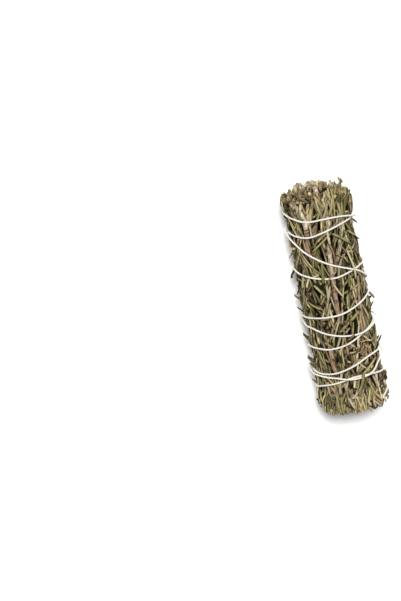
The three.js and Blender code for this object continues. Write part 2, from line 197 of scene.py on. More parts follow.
KNOT_ANGLE, KNOT_Y, KNOT_RADIUS, KNOT_STRAND = 130, -31.25, 1.3, 0.42
KNOT_TAIL = [[130, -31.25], [138, -33.75], [141, -37.25], [147, -40.0]]


def lerp(start, end, share):
    return start + (end - start) * share


def clamp(value, low, high):
    return max(low, min(high, value))


def smooth_line(stations):
    """A smooth line through stations of [position, value], held level past its ends."""
    last = len(stations) - 1

    def slope(i):
        before, after = stations[max(i - 1, 0)], stations[min(i + 1, last)]
        return (after[1] - before[1]) / (after[0] - before[0])

    def line(position):
        if position <= stations[0][0]:
            return stations[0][1]
        if position >= stations[last][0]:
            return stations[last][1]
        i = next(i for i in range(last) if stations[i + 1][0] > position)
        start, end = stations[i], stations[i + 1]
        span = end[0] - start[0]
        t = (position - start[0]) / span
        rise = t * t * (3 - 2 * t)
        leaving = t * (1 - t) ** 2 * span * slope(i)
        arriving = t * t * (1 - t) * span * slope(i + 1)
        return lerp(start[1], end[1], rise) + leaving - arriving

    return line


foliage_radius = smooth_line(FOLIAGE_PROFILE)


def on_bundle(angle, distance, y):
    """The point at an angle in degrees round the bundle, a distance from its axis and a height along it."""
    turn = math.radians(angle)
    return Vector((distance * math.sin(turn), y, AXIS_HEIGHT + distance * math.cos(turn)))


def floor_limit(angle, height):
    """The largest distance from the axis that stays a given height above the table."""
    downward = -math.cos(math.radians(angle))
    return (AXIS_HEIGHT - height) / downward if downward > 0.05 else math.inf


def thread_stations():
    turns = [[360 * turn + angle, y] for turn, row in enumerate(TURNS) for angle, y in zip(TURN_ANGLES, row)]
    finish = [[360 * len(TURNS) + angle, y] for angle, y in THREAD_FINISH]
    return [[angle, y + WINDING_MIDDLE] for angle, y in THREAD_START + turns + finish]


thread_height = smooth_line(thread_stations())
FIRST_ANGLE = THREAD_START[0][0]
LAST_ANGLE = 360 * len(TURNS) + THREAD_FINISH[-1][0]


def thread_rest(angle, y):
    """How far the centreline lies from the bundle's axis before any overpass."""
    return min(foliage_radius(y) - THREAD_BITE, floor_limit(angle, THREAD_DIAMETER / 2 + THREAD_CLEARANCE))


def overpass_lifts(step):
    """The lift of the thread at every step of its angle, where it passes over its own earlier turns."""
    lifts = []
    turn_steps = 360 // step
    for i, angle in enumerate(range(FIRST_ANGLE, LAST_ANGLE + 1, step)):
        lift = 0.0
        for under in range(i - turn_steps, -1, -turn_steps):
            apart = thread_height(angle) - thread_height(FIRST_ANGLE + under * step)
            nearness = 1 - (apart / OVERPASS_REACH) ** 2
            if nearness > 0:
                lift = max(lift, lifts[under] + THREAD_OVERPASS * nearness ** 2)
        lifts.append(lift)
    return lifts


LIFT_STEP = 5
thread_lifts = overpass_lifts(LIFT_STEP)


def thread_distance(angle):
    place = (angle - FIRST_ANGLE) / LIFT_STEP
    i = min(int(place), len(thread_lifts) - 2)
    lift = lerp(thread_lifts[i], thread_lifts[i + 1], place - i)
    return thread_rest(angle, thread_height(angle)) + lift


def thread_centreline():
    """Points along the whole winding, two degrees apart."""
    return [on_bundle(a, thread_distance(a), thread_height(a)) for a in range(FIRST_ANGLE, LAST_ANGLE + 1, 2)]


def knot_centreline():
    """A closed trefoil, the shape of a small overhand knot pulled tight on the winding."""
    distance = thread_rest(KNOT_ANGLE, KNOT_Y) + KNOT_RADIUS - THREAD_DIAMETER / 2
    centre = on_bundle(KNOT_ANGLE, distance, KNOT_Y)
    turn = Quaternion((0, 1, 0), math.radians(KNOT_ANGLE))
    points = []
    for i in range(48):
        u = 4 * math.pi * i / 48
        reach = (KNOT_RADIUS - KNOT_STRAND) * (2 + math.cos(1.5 * u)) / 2
        height = (KNOT_RADIUS - KNOT_STRAND) * math.sin(1.5 * u) / 2
        points.append(centre + turn @ Vector((reach * math.cos(u), reach * math.sin(u), height)))
    return points


def tail_centreline():
    points = []
    for i, (angle, y) in enumerate(KNOT_TAIL):
        lift = KNOT_RADIUS / 2 if i == 0 else 0.4
        points.append(on_bundle(angle, thread_rest(angle, y) + lift, y))
    return points


def path_mesh(name, paths, attributes):
    """A mesh of open lines. Each path is a list of rows: a point in millimetres, then the values of
    its attributes."""
    mesh = bpy.data.meshes.new(name)
    rows = [row for path in paths for row in path]
    edges, first = [], 0
    for path in paths:
        edges += [(i, i + 1) for i in range(first, first + len(path) - 1)]
        first += len(path)
    mesh.from_pydata([row[0] * MM for row in rows], edges, [])
    for column, (title, kind) in enumerate(attributes.items(), start=1):
        layer = mesh.attributes.new(title, kind, "POINT")
        if kind == "FLOAT_VECTOR":
            layer.data.foreach_set("vector", [c for row in rows for c in row[column]])
        else:
            layer.data.foreach_set("value", [row[column] for row in rows])
    return mesh


def grown_mesh(name, base, tree, inputs):
    """Runs a Geometry Nodes tree on a mesh of lines and gives back the finished plain mesh."""
    holder = new_object(name + "_lines", base)
    modifier = holder.modifiers.new("tree", "NODES")
    modifier.node_group = tree
    sockets = {item.name: item.identifier for item in tree.interface.items_tree
               if item.item_type == "SOCKET" and item.in_out == "INPUT"}
    for title, value in inputs.items():
        modifier[sockets[title]] = value
    depsgraph = bpy.context.evaluated_depsgraph_get()
    mesh = bpy.data.meshes.new_from_object(holder.evaluated_get(depsgraph), depsgraph=depsgraph)
    mesh.name = name
    holder.modifiers.remove(modifier)
    bpy.data.objects.remove(holder)
    return mesh


def new_tree(name, inputs):
    """An empty Geometry Nodes tree with named inputs, given as title: (socket kind, default value)."""
    tree = bpy.data.node_groups.new(name, "GeometryNodeTree")
    tree.interface.new_socket("Geometry", in_out="INPUT", socket_type="NodeSocketGeometry")
    for title, (kind, value) in inputs.items():
        socket = tree.interface.new_socket(title, in_out="INPUT", socket_type=kind)
        if value is not None:
            socket.default_value = value
    tree.interface.new_socket("Geometry", in_out="OUTPUT", socket_type="NodeSocketGeometry")
    entry = add_node(tree, "NodeGroupInput")
    leave = add_node(tree, "NodeGroupOutput")
    return tree, entry.outputs, leave.inputs


def stored(tree, geometry, name, value):
    """Geometry with a number kept at each of its points under a name."""
    return add_node(tree, "GeometryNodeStoreNamedAttribute", {"data_type": "FLOAT", "domain": "POINT"},
                    {"Geometry": geometry, "Name": name, "Value": value}).outputs[0]


def finished(tree, geometry, material):
    """The last steps of a tree: smooth shading, real geometry and a material."""
    smooth = add_node(tree, "GeometryNodeSetShadeSmooth", None, {"Geometry": geometry})
    real = add_node(tree, "GeometryNodeRealizeInstances", None, {"Geometry": smooth.outputs[0]})
    return add_node(tree, "GeometryNodeSetMaterial", None,
                    {"Geometry": real.outputs[0], "Material": material}).outputs[0]


def thread_tree():
    """Draws a section with a lobe for each ply along each line, turned with the length as plies lie."""
    tree, given, result = new_tree("twisted_thread", {
        "Step": ("NodeSocketFloat", THREAD_STEP * MM),
        "Radius": ("NodeSocketFloat", 0.4 * THREAD_DIAMETER * MM),
        "Pitch": ("NodeSocketFloat", TWIST_PITCH * MM),
        "Lobe Depth": ("NodeSocketFloat", 0.16), "Material": ("NodeSocketMaterial", None)})
    line = add_node(tree, "GeometryNodeMeshToCurve", None, {"Mesh": given["Geometry"]})
    smooth = add_node(tree, "GeometryNodeCurveSplineType", {"spline_type": "CATMULL_ROM"},
                      {"Curve": line.outputs[0]})
    stepped = add_node(tree, "GeometryNodeResampleCurve", {"mode": "LENGTH"},
                       {"Curve": smooth.outputs[0], "Length": given["Step"]})
    place = add_node(tree, "GeometryNodeSplineParameter")
    turns = math_node(tree, "DIVIDE", place.outputs["Length"], given["Pitch"])
    angle = math_node(tree, "MULTIPLY", turns, 2 * math.pi)
    twisted = add_node(tree, "GeometryNodeSetCurveTilt", None, {"Curve": stepped.outputs[0], "Tilt": angle})
    ring = add_node(tree, "GeometryNodeCurvePrimitiveCircle", None,
                    {"Resolution": 4 * PLIES, "Radius": given["Radius"]})
    around = add_node(tree, "GeometryNodeSplineParameter")
    lobe_turn = math_node(tree, "MULTIPLY", around.outputs["Factor"], 2 * math.pi * PLIES)
    lobe = math_node(tree, "COSINE", lobe_turn)
    depth = math_node(tree, "MULTIPLY_ADD", lobe, given["Lobe Depth"], 1.0)
    spot = add_node(tree, "GeometryNodeInputPosition")
    pushed = vector_node(tree, "SCALE", {0: spot.outputs[0], "Scale": depth})
    section = add_node(tree, "GeometryNodeSetPosition", None,
                       {"Geometry": ring.outputs[0], "Position": pushed})
    tube = add_node(tree, "GeometryNodeCurveToMesh", None, {
        "Curve": twisted.outputs[0], "Profile Curve": stored(tree, section.outputs[0], "crown", lobe),
        "Fill Caps": True})
    tree.links.new(finished(tree, tube.outputs[0], given["Material"]), result[0])
    return tree


def cotton_material():
    """Bleached cotton: matt and faintly fuzzy at the edges, with painted shade that greys the grooves
    between its plies.
    """
    material, tree, shader = new_material("bleached_cotton")
    crown = line_values(tree, ["crown"])["crown"]
    place = object_place(tree)
    # Painted shade: the colour greys towards the grooves between the plies.
    ply_groove_shaded = mixed_colour(tree, ranged(tree, crown, -1.0, 0.6), "#a39b8d", "#efece4")
    stains = ranged(tree, noise(tree, place, 9, 2.0), 0.55, 0.8, 0.0, 0.3)
    set_inputs(tree, shader, {
        "Base Color": mixed_colour(tree, stains, ply_groove_shaded, "#c4b998"),
        "Normal": bumps(tree, noise(tree, place, 0.16, 3.0), 0.35, 0.06),
        "Roughness": 0.95, "Specular IOR Level": 0.2, "Sheen Weight": 0.3})
    return material


def wind_thread():
    paths = [[(p,) for p in line] for line in (thread_centreline(), tail_centreline())]
    knot = knot_centreline()
    paths.append([(p,) for p in knot + knot[:1]])
    base = path_mesh("thread_paths", paths, {})
    mesh = grown_mesh("wound_cotton_thread", base, thread_tree(), {"Material": cotton_material()})
    thread = new_object("wound_cotton_thread", mesh)
    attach(thread, "root")
    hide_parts("cotton_thread")


wind_thread()


# The sprigs
# Dried rosemary sprigs lie side by side, some turned end for end: each is a thin woody stem with
# narrow leathery needles all along it. Needles on the outside are laid on those below them, as in
# a thatch, and pressed in where the thread runs.
SPRIG_RINGS = {
    "outer": {"cells": 12, "inner": 0.6, "outer": 1.0, "laid": 150, "inside": 40, "tufts": 4, "bristles": 26},
    "middle": {"cells": 6, "inner": 0.22, "outer": 0.57, "laid": 0, "inside": 60, "tufts": 5, "bristles": 0},
    "heart": {"cells": 1, "inner": 0.0, "outer": 0.19, "laid": 0, "inside": 30, "tufts": 3, "bristles": 0},
}
TURNED_CELLS = {"outer": [1, 3, 6, 8, 10], "middle": [0, 2, 4], "heart": []}
# Stretches where a bare stem shows at the surface: {cell: [middle along Y, half its length]}
BARE_STRETCHES = {11: [37, 15], 0: [15, 27], 1: [-9, 9], 4: [13, 14], 7: [-23, 12]}
# Tone of the bark along a stem, from pale and weathered at 0 to mauve at 1: {cell: [[height along Y, tone]]}
BARK_TONES = {11: [[27, 0.7], [35, 0.95], [42, 0.35], [46, 0.02]],
              0: [[-8, 0.85], [10, 0.65], [24, 0.2], [40, 0.1]]}
# Degrees by which a stem lies out of the middle of its cell: {cell: [[height along Y, degrees]]}
STEM_SHIFTS = {11: [[8, 0], [27, -11], [40, -11], [52, -6]], 0: [[-20, -4], [0, -8], [24, -7], [40, 0]]}
HALF_LENGTH = 59.25
BUNDLE_RADIUS = 18  # a round figure for it, where its true shape doesn't matter
TUFT_HEIGHT = 54  # how far along Y the places of the shoots' ends are picked
END_DOMES = {1: 5.0, -1: 3.0}  # how far the middle of each end stands out past its rim
SIDE_FALL = {1: 3.0, -1: 0.0}  # how much shorter the foliage is at its +X side, at each end
STEM_RADIUS = 1.2
NEEDLE_WIDTH = 1.12
NEEDLE_SHAPE = 0.66  # thickness of a needle, as a share of its width
NEEDLE_STATIONS = 8
LEANING_FROM = 0.45  # the share of its length past which a needle leans on what lies below
BRISTLE_LIMIT, LOOSE_LIMIT = 19.4, 19.6  # farthest from the axis that these may reach
GOLDEN_SHARE, GOLDEN_TURN = 0.618034, 2.4  # steps that spread rows evenly: of a whole, and in radians
TWIG_EVERY = 25
THATCH_DEPTH = 3.8
PILE_STEP = 0.5
PILE_TURN = 2
WOOD, LEAF, PITH = 0.0, 1.0, 2.0
FURROWS = (0.7, 3.2, 0.7)  # size of the bark's furrows across and along the bundle
LINE_ATTRIBUTES = {"stuff": "FLOAT", "breadth": "FLOAT", "facing": "FLOAT_VECTOR", "hue": "FLOAT",
                   "light": "FLOAT", "along": "FLOAT", "depth": "FLOAT"}


def strands_by_angle():
    """For each whole degree round the bundle, the turns of thread there: height, distance and slant."""
    table = []
    for degree in range(360):
        strands = []
        for turn in range(-2, len(TURNS) + 1):
            angle = 360 * turn + degree
            if FIRST_ANGLE < angle < LAST_ANGLE:
                distance = thread_distance(angle)
                climb = thread_height(angle + 0.5) - thread_height(angle - 0.5)
                across = math.radians(1) * distance
                strands.append((thread_height(angle), distance, across / math.hypot(across, climb)))
        table.append(strands)
    return table


strands = strands_by_angle()


def pressed_distance(angle, distance, y, half_thickness):
    """A distance from the axis, lowered where the thread or the table presses on a needle there."""
    limit = min(distance, floor_limit(angle, half_thickness + 0.15))
    for strand_y, strand_distance, slant in strands[round(angle) % 360]:
        apart = abs(y - strand_y) * slant
        if apart < 4:
            rise = 0.3 * max(0.0, apart - 0.5) ** 2
            limit = min(limit, strand_distance - 0.42 * THREAD_DIAMETER - half_thickness + rise)
    return limit


def cell_angle(ring, index, across, y):
    """Angle in degrees of a place in a sprig's cell: across is from -1 to 1, from side to side."""
    cells = SPRIG_RINGS[ring]["cells"]
    wander = 2.4 * math.sin(y / 17 + 1.7 * index) if cells > 1 else 0.0
    twist = 6 * math.sin(y / 27 + 0.6)
    return 360 / cells * (index + across / 2) + wander + twist


stem_shift = {index: smooth_line(stations) for index, stations in STEM_SHIFTS.items()}


def bareness(ring, index, y):
    """How far a bare stretch of stem has come out to the surface at a height, from 0 to 1."""
    if ring != "outer" or index not in BARE_STRETCHES:
        return 0.0
    middle, half = BARE_STRETCHES[index]
    return clamp(1.6 * (1 - ((y - middle) / half) ** 2), 0, 1)


def stem_place(sprig, y):
    """Angle and distance from the axis of a sprig's stem at a height."""
    ring, index, phase = sprig["ring"], sprig["index"], sprig["phase"]
    sizes = SPRIG_RINGS[ring]
    if sizes["cells"] == 1:
        return 90 * math.sin(y / 19 + phase), 0.9
    share = 0.45 + 0.08 * math.sin(y / 23 + 2 * phase)
    share = lerp(share, 0.74, bareness(ring, index, y))
    distance = lerp(sizes["inner"], sizes["outer"], share) * foliage_radius(y)
    angle = cell_angle(ring, index, 0.16 * math.sin(y / 19 + phase), y)
    if ring == "outer" and index in stem_shift:
        angle += stem_shift[index](y)
    return angle, pressed_distance(angle, distance, y, STEM_RADIUS)


def end_reach(towards, angle, distance):
    """How far along Y the foliage reaches at a place: each end is a little domed, and the tips fall
    back towards one side."""
    fall = SIDE_FALL[towards] * clamp((distance * math.sin(math.radians(angle)) - 6) / 12, 0, 1)
    return HALF_LENGTH - END_DOMES[towards] * (distance / BUNDLE_RADIUS) ** 2 - fall


def line_rows(points, roll, twist, stuff, breadths, hue, light):
    """Rows of a line for path_mesh: each point with its facing, which turns about the line by roll."""
    rows = []
    last = len(points) - 1
    for i, point in enumerate(points):
        along = i / last
        tangent = (points[min(i + 1, last)] - points[max(i - 1, 0)]).normalized()
        outward = Vector((point.x, 0, point.z - AXIS_HEIGHT))
        outward = (outward - tangent * outward.dot(tangent)).normalized()
        facing = Quaternion(tangent, roll + twist * along) @ outward
        rows.append((point, stuff, breadths[i] * MM, facing, hue, light, along))
    return rows


def buried_depth(point):
    """How deep a point lies below the thatch around it, or behind the bundle's end, from 0 to 1.
    The materials paint shade by it.
    """
    angle = math.degrees(math.atan2(point.x, point.z - AXIS_HEIGHT))
    distance = math.hypot(point.x, point.z - AXIS_HEIGHT)
    top = max(pile_top(angle + turn, point.y + along) for turn in (-3, 0, 3) for along in (-1, 0, 1))
    behind = end_reach(1 if point.y > 0 else -1, angle, distance) - abs(point.y)
    return clamp(min(top - distance, behind / 3) / 3, 0, 1)


def with_depths(lines):
    return [[row + (buried_depth(row[0]),) for row in line] for line in lines]


def needle_rows(draw, points, width, hue, light):
    """A needle along a line of points: a narrow foot, even sides and a blunt tip."""
    roll = draw.gauss(0, 0.4) + (math.pi if draw.random() < 0.25 else 0)
    bluntness = draw.uniform(0.5, 0.9)
    breadths = []
    for i in range(len(points)):
        t = i / (len(points) - 1)
        foot, tip = clamp(0.65 + t / 0.25, 0, 1), lerp(bluntness, 1, clamp((1 - t) / 0.1, 0, 1))
        breadths.append(width / 2 * foot * tip * (1 + 0.06 * math.sin(9 * t + 20 * hue)))
    return line_rows(points, roll, draw.gauss(0, 0.3), LEAF, breadths, hue, light)


def needle_colour(draw, greenness):
    """A needle's hue, from olive at 0 to brown at 1, and its lightness."""
    hue = clamp(draw.gauss(0.62 - 0.4 * greenness, 0.2), 0, 1)
    if draw.random() < 0.1:
        hue = draw.uniform(0.8, 1.0)
    return hue, clamp(draw.gauss(0.5, 0.3), 0, 1)


pile = {}


def pile_spot(angle, y):
    return round(y / PILE_STEP), round(angle / PILE_TURN) % (360 // PILE_TURN)


def pile_top(angle, y):
    """Distance from the axis of the top of what has been laid at a place so far."""
    return pile.get(pile_spot(angle, y), foliage_radius(y) - THATCH_DEPTH)


def raise_pile(angle, y, distance, half_width, half_thickness):
    reach = math.degrees(half_width / distance)
    for turn in (-reach, 0, reach):
        spot = pile_spot(angle + turn, y)
        pile[spot] = max(pile.get(spot, 0), distance + half_thickness)


def needle_places(root, heading, towards, length, bow):
    """Places along a needle that lies on the bundle: angle, height, and share of the needle's length."""
    places = []
    for i in range(NEEDLE_STATIONS):
        t = i / (NEEDLE_STATIONS - 1)
        y = root[1] + towards * length * math.cos(heading) * t
        sideways = length * math.sin(heading) * t + bow * math.sin(math.pi * t)
        places.append((root[0] + math.degrees(sideways / (0.95 * foliage_radius(y))), y, t))
    return places


def laid_points(places, foot, half_thickness, most):
    """Points of a needle that springs from its foot and leans on what lies below, or none if there's
    no room."""
    lean = max((pile_top(angle, y) + half_thickness - foot) / (1 - (1 - t) ** 3)
               for angle, y, t in places if t > LEANING_FROM)
    points = []
    for angle, y, t in places:
        distance = foot + max(lean, 0) * (1 - (1 - t) ** 3)
        if distance > foliage_radius(y) - half_thickness + most:
            return []
        distance = pressed_distance(angle, distance, y, half_thickness)
        if t > LEANING_FROM and distance < pile_top(angle, y) - 0.5:
            return []
        points.append((angle, distance, y))
    return points


def over_bare_stem(sprigs, places):
    """Whether a needle would cover a stretch of stem that lies bare at the surface."""
    for sprig in sprigs:
        if sprig["ring"] == "outer" and sprig["index"] in BARE_STRETCHES:
            for angle, y, t in places[3:]:
                off = (stem_place(sprig, y)[0] - angle + 180) % 360 - 180
                if abs(off) < 6 and bareness("outer", sprig["index"], y) > 0.6:
                    return True
    return False


def lay_needle(draw, sprigs, sprig, heading, share):
    """Adds one needle of the thatch to a sprig, if there's room: of a few tries, the one that lies
    lowest. The needles at the low end are broader and browner."""
    towards = sprig["towards"] * (-1 if draw.random() < 0.08 else 1)
    low = clamp((-32 - lerp(sprig["butt"], sprig["tip"], share)) / 8, 0, 1)
    width = NEEDLE_WIDTH * draw.uniform(0.75, 1.25) * (1 + 0.25 * low)
    half_thickness = width * NEEDLE_SHAPE / 2
    best = []
    for _ in range(3):
        root_y = lerp(sprig["butt"], sprig["tip"], share + draw.uniform(-0.02, 0.02))
        stem_angle, foot = stem_place(sprig, root_y)
        root = (stem_angle + draw.gauss(0, 7), root_y)
        length = draw.uniform(5, 9) if draw.random() < 0.12 else draw.uniform(11, 20)
        ragged = draw.uniform(0.3, 2.4) if draw.random() < 0.15 else draw.uniform(-4.5, 0.3)
        limit = end_reach(towards, stem_angle, foliage_radius(0)) + ragged
        room = (limit - towards * root_y) / math.cos(heading)
        if room < 0.75 * length:
            continue
        length = min(length, room)
        places = needle_places(root, heading, towards, length, draw.gauss(0, 0.035) * length)
        if draw.random() < 0.82 and over_bare_stem(sprigs, places):
            continue
        points = laid_points(places, foot, half_thickness, draw.uniform(-0.3, 0.7))
        if points and (not best or max(p[1] for p in points) < max(p[1] for p in best)):
            best = points
    if not best:
        return
    flare = draw.uniform(0.4, 1.3) if draw.random() < 0.22 else draw.uniform(0, 0.3)
    points = []
    for i, (angle, distance, y) in enumerate(best):
        raise_pile(angle, y, distance, width / 2, half_thickness)
        lifted = distance + flare * max(0.0, i / (NEEDLE_STATIONS - 1) - 0.5) ** 2 * 4
        points.append(on_bundle(angle, min(lifted, floor_limit(angle, half_thickness)), y))
    colour = needle_colour(draw, sprig["greenness"] * (1 - 0.5 * low))
    sprig["lines"].append(needle_rows(draw, points, width, *colour))


def lay_twig(draw, sprig):
    """A thin side shoot without needles, laid in the thatch."""
    root_y = lerp(sprig["butt"], sprig["tip"], draw.uniform(0.05, 0.8))
    stem_angle, foot = stem_place(sprig, root_y)
    radius = draw.uniform(0.35, 0.6)
    places = needle_places((stem_angle, root_y), draw.gauss(0, 0.22), sprig["towards"], draw.uniform(12, 24),
                           draw.gauss(0, 0.8))
    placed = laid_points(places, foot, radius, -0.1)
    for angle, distance, y in placed:
        raise_pile(angle, y, distance, radius, radius)
    if placed:
        points = [on_bundle(*place) for place in placed]
        breadths = [radius * lerp(1.1, 0.7, i / (NEEDLE_STATIONS - 1)) for i in range(NEEDLE_STATIONS)]
        sprig["lines"].append(line_rows(points, 0, 0, WOOD, breadths, draw.random(), 0.5))


def inside_needle(draw, sprig):
    """A needle buried in the sprig's own cell, close to its stem."""
    sizes = SPRIG_RINGS[sprig["ring"]]
    towards = sprig["towards"]
    y = lerp(sprig["butt"], sprig["tip"], draw.random())
    length = min(draw.uniform(8, 16), end_reach(towards, 60, 14) - 3 - towards * y)
    if length < 4:
        return
    angle, distance = stem_place(sprig, y)
    side, rise = draw.gauss(0, 0.22), draw.gauss(0, 0.2)
    ceiling = (sizes["outer"] if sprig["ring"] != "outer" else 0.8) * BUNDLE_RADIUS
    points = []
    for i in range(5):
        along = length * i / 4
        here = clamp(distance + rise * along, sizes["inner"] * BUNDLE_RADIUS + 0.6, ceiling)
        turned = angle + math.degrees(side * along / max(here, 4))
        here = pressed_distance(turned, here, y + towards * along, NEEDLE_WIDTH / 3)
        points.append(on_bundle(turned, here, y + towards * along))
    width = NEEDLE_WIDTH * draw.uniform(0.8, 1.2)
    sprig["lines"].append(needle_rows(draw, points, width, *needle_colour(draw, sprig["greenness"])))


def end_tuft(draw, sprig, towards, tips):
    """A shoot's end at one end of the bundle: a thin stem with needles that open round it like a
    small brush."""
    sizes = SPRIG_RINGS[sprig["ring"]]
    spacing = 7.0
    for _ in range(30):
        share = draw.uniform(sizes["inner"] ** 2, (0.93 * sizes["outer"]) ** 2) ** 0.5
        distance = share * foliage_radius(towards * TUFT_HEIGHT)
        angle = cell_angle(sprig["ring"], sprig["index"], draw.uniform(-0.9, 0.9), towards * TUFT_HEIGHT)
        angle += draw.uniform(0, 360) if sizes["cells"] == 1 else 0
        distance = min(distance, floor_limit(angle, 1.5))
        spot = on_bundle(angle, distance, 0)
        if all(math.hypot(spot.x - other.x, spot.z - other.z) > spacing for other in tips):
            break
        spacing *= 0.94
    tips.append(spot)
    level = end_reach(towards, angle, distance) + draw.uniform(-3.5, 1.2)
    outward = on_bundle(angle, 1, 0) - on_bundle(angle, 0, 0)
    sideways = Vector((outward.z, 0, -outward.x))
    lengthwise = Vector((0, towards, 0))
    base = on_bundle(angle, distance, towards * (level - 15))
    twig = [base + lengthwise * 13 * i / 4 for i in range(5)]
    sprig["lines"].append(line_rows(twig, 0, 0, WOOD, [0.6, 0.6, 0.55, 0.5, 0.4], draw.random(), 0.5))
    for i in range(draw.randint(6, 9)):
        turn = GOLDEN_TURN * i + draw.uniform(-0.4, 0.4)
        tilt = draw.uniform(0.15, 1.0)
        root = base + lengthwise * draw.uniform(2.5, 8)
        length = min((level - towards * root.y - abs(draw.gauss(0, 1.8))) / math.cos(tilt), 13)
        spread = outward * math.cos(turn) + sideways * math.sin(turn)
        heading = lengthwise * math.cos(tilt) + spread * math.sin(tilt)
        points = []
        for step in range(NEEDLE_STATIONS):
            t = step / (NEEDLE_STATIONS - 1)
            point = root + heading * length * t
            there = math.degrees(math.atan2(point.x, point.z - AXIS_HEIGHT))
            here = math.hypot(point.x, point.z - AXIS_HEIGHT)
            surface = foliage_radius(point.y) - 0.7 + 0.9 * t * t
            limit = pressed_distance(there, surface, point.y, NEEDLE_WIDTH / 3)
            points.append(on_bundle(there, min(here, limit), point.y))
        width = NEEDLE_WIDTH * draw.uniform(0.95, 1.6)
        colour = needle_colour(draw, sprig["greenness"] * (0.9 if towards > 0 else 0.4))
        sprig["lines"].append(needle_rows(draw, points, width, *colour))
        if towards > 0 and distance < 14 and draw.random() < 0.45:
            curled = [points[-1] + (points[-1] - points[-2]) * 0.4 * (i - 4) + sideways * 0.12 * i * (4 - i)
                      for i in range(5)]
            sprig["lines"].append(needle_rows(draw, curled, draw.uniform(1.5, 2.2), draw.uniform(0.6, 1.0),
                                              draw.uniform(0.3, 0.8)))


def bristle(draw, sprig):
    """A short needle whose tip stands off the surface, seen best against the light at the bundle's sides."""
    towards = sprig["towards"]
    y = draw.triangular(-57, 15, -50) if towards > 0 else draw.triangular(-12, 52, 15)
    angle = cell_angle("outer", sprig["index"], draw.uniform(-1, 1), y)
    length, heading, lift = draw.uniform(4.0, 6.5), draw.gauss(0, 0.25), draw.uniform(0.8, 1.8)
    points = []
    for i in range(5):
        t = i / 4
        here_y = y + towards * length * math.cos(heading) * t
        here = angle + math.degrees(length * math.sin(heading) * t / BUNDLE_RADIUS)
        distance = foliage_radius(here_y) - 2.8 + (2.8 + lift) * t
        if pressed_distance(here, distance, here_y, 0.3) < distance - 0.4:
            return
        points.append(on_bundle(here, min(distance, foliage_radius(here_y) + 1.5, BRISTLE_LIMIT), here_y))
    hue, light = needle_colour(draw, sprig["greenness"])
    sprig["lines"].append(needle_rows(draw, points, NEEDLE_WIDTH * draw.uniform(1.0, 1.4), hue, 0.7 * light))


def stem_lines(draw, sprig):
    """A stem with a slight swelling every few millimetres, thinning to its tip, and its pale cut end."""
    butt, tip = sprig["butt"], sprig["tip"]
    thickness = draw.uniform(0.75, 1.3)
    count = round(abs(tip - butt) / 1.1)
    points, breadths = [], []
    for i in range(count + 1):
        share = i / count
        y = lerp(butt, tip, share)
        angle, distance = stem_place(sprig, y)
        points.append(on_bundle(angle, distance, y))
        swelling = 0.2 * max(0.0, math.cos(2 * math.pi * y / 5.2 + sprig["phase"])) ** 3
        thin = thickness * lerp(1.05, 0.5, share ** 1.5)
        breadths.append(STEM_RADIUS * max(thin, 0.95 * bareness(sprig["ring"], sprig["index"], y)) + swelling)
        if sprig["ring"] == "outer":
            raise_pile(angle, y, distance, STEM_RADIUS, breadths[-1])
    end = points[0]
    outwards = (end - points[1]).normalized()
    pith = [end - outwards * 0.8, end + outwards * 0.12]
    tone = smooth_line(BARK_TONES.get(sprig["index"], [[-60, 0.5], [60, draw.uniform(0.4, 0.8)]]))
    rows = line_rows(points, 0, 0, WOOD, breadths, 0.5, draw.uniform(0.3, 0.7))
    sprig["lines"].append([(*row[:4], tone(row[0].y), *row[5:]) for row in rows])
    sprig["lines"].append(line_rows(pith, 0, 0, PITH, [0.8 * breadths[0]] * 2, 0.5, 0.5))


def lay_bundle():
    """The lines of every sprig, with the needles of all the outer sprigs laid turn by turn."""
    draw = random.Random(29)
    sprigs = []
    for ring, sizes in SPRIG_RINGS.items():
        for index in range(sizes["cells"]):
            towards = -1 if index in TURNED_CELLS[ring] else 1
            distance = lerp(sizes["inner"], sizes["outer"], 0.45) * BUNDLE_RADIUS
            angle = cell_angle(ring, index, 0, 0)
            node = "sprig_heart" if ring == "heart" else f"sprig_{ring}_{index + 1:02d}"
            sprigs.append({
                "node": node, "ring": ring, "index": index, "towards": towards, "lines": [],
                "phase": draw.uniform(0, 6.28), "greenness": draw.uniform(0.1, 0.9),
                "butt": -towards * (end_reach(-towards, angle, distance) - draw.uniform(-0.6, 1.8)),
                "tip": towards * (end_reach(towards, angle, distance) - 7)})
    for sprig in sprigs:
        stem_lines(draw, sprig)
    for towards in (1, -1):
        tips = [on_bundle(*stem_place(sprig, sprig["butt"]), 0) for sprig in sprigs
                if sprig["towards"] == -towards]
        for sprig in sprigs:
            for _ in range(SPRIG_RINGS[sprig["ring"]]["tufts"]):
                end_tuft(draw, sprig, towards, tips)
    outer = [sprig for sprig in sprigs if sprig["ring"] == "outer"]
    for sprig in sprigs:
        for _ in range(SPRIG_RINGS[sprig["ring"]]["inside"]):
            inside_needle(draw, sprig)
        for _ in range(SPRIG_RINGS[sprig["ring"]]["bristles"] // (1 if sprig["towards"] > 0 else 3)):
            bristle(draw, sprig)
    for turn in range(SPRIG_RINGS["outer"]["laid"] // 2):
        for sprig in outer:
            if turn % TWIG_EVERY == 3:
                lay_twig(draw, sprig)
            share = (turn * GOLDEN_SHARE + 0.37 * sprig["index"]) % 1
            at_end = abs(2 * share - 1) > 0.66
            spread = 1.0 if draw.random() < (0.6 if at_end else 0.22) else 0.4
            drift = 0.16 * math.sin(9 * share + 2.1 * sprig["index"])
            for side in (-1, 1):
                heading = clamp(drift + side * abs(draw.gauss(0.5 * spread, 0.55 * spread)), -1.3, 1.3)
                lay_needle(draw, outer, sprig, heading, share)
    return sprigs


